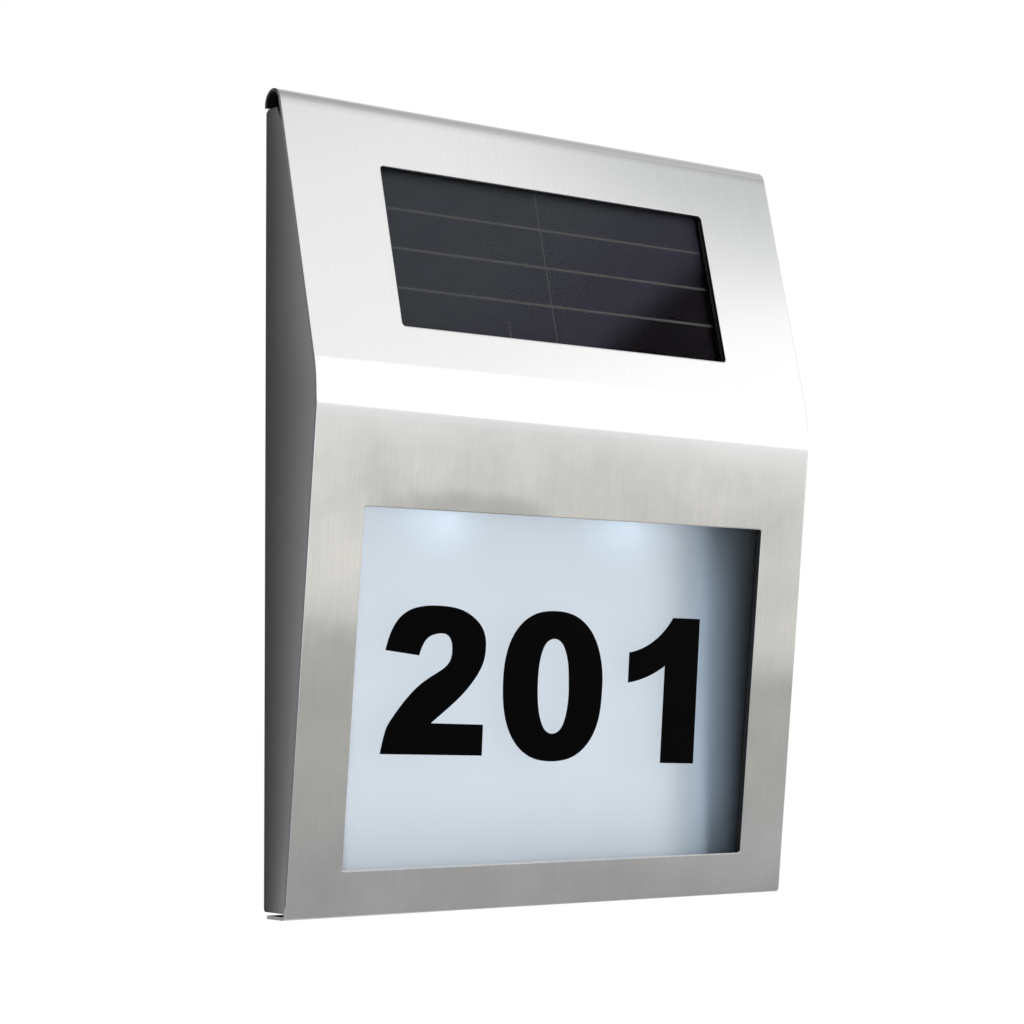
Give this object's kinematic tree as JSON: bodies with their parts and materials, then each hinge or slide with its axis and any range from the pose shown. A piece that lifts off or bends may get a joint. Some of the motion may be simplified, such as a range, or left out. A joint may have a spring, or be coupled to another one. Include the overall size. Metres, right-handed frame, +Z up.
{
  "type": "solar house number light",
  "caption": "Wall-hung house number light: folded stainless cover with a solar panel window above a back-lit frosted number window, on a dark moulded housing with a slide switch behind.",
  "frame": {"origin": "on the wall plane, midway between the entry holes of the two hanging keyholes", "axes": "+Z up, +Y into the wall (the front faces -Y), +X to the right as seen from the front"},
  "size_m": [0.155, 0.0233, 0.1959],
  "materials": {
    "brushed_stainless": "fine vertical brushing",
    "screw_steel": "bright zinc",
    "housing_plastic": "fine moulded grain",
    "back_plastic": "fine moulded grain",
    "frosted_acrylic": "frosted",
    "black_foam": "closed-cell foam",
    "black_film": "satin film",
    "clear_cover": "clear",
    "solar_cell": "dark silicon",
    "dark_board": "black solder mask",
    "green_board": "solder mask",
    "white_reflector": "matt white",
    "lamp_resin": "clear resin, lit",
    "black_resin": "matt",
    "coil_copper": "enamelled copper",
    "can_aluminium": "bright",
    "slider_plastic": "matt",
    "battery_sleeve": "shrink sleeve",
    "contact_nickel": "nickel plate",
    "wire_jacket": "satin jacket"
  },
  "bodies": {
    "root": {"front_cover": "brushed_stainless", "cover_screws": "screw_steel", "housing": "housing_plastic", "number_panel": "frosted_acrylic", "number_gasket": "black_foam", "digit_two": "black_film", "digit_zero": "black_film", "digit_one": "black_film", "solar_cover": "clear_cover", "solar_cells": "solar_cell", "solar_board": "dark_board", "solar_gasket": "black_foam", "back_plate": "back_plastic", "back_gasket": "black_foam", "back_plate_screws": "screw_steel", "reflector": "white_reflector", "led_board": "green_board", "leds": "lamp_resin", "control_board": "green_board", "board_screws": "screw_steel", "control_chip": "black_resin", "boost_coil": "coil_copper", "charge_capacitor": "can_aluminium", "switch_body": "black_resin", "battery": "battery_sleeve", "battery_contact": "contact_nickel", "battery_spring": "contact_nickel", "battery_door": "back_plastic", "battery_door_screw": "screw_steel", "solar_leads": "wire_jacket", "battery_leads": "wire_jacket", "led_leads": "wire_jacket"},
    "slider": {"switch_slider": "slider_plastic"}
  },
  "joints": [
    {"name": "switch_slide", "type": "slide", "parent": "root", "child": "slider", "axis": [1, 0, 0], "range_m": [0, 0.003]}
  ]
}
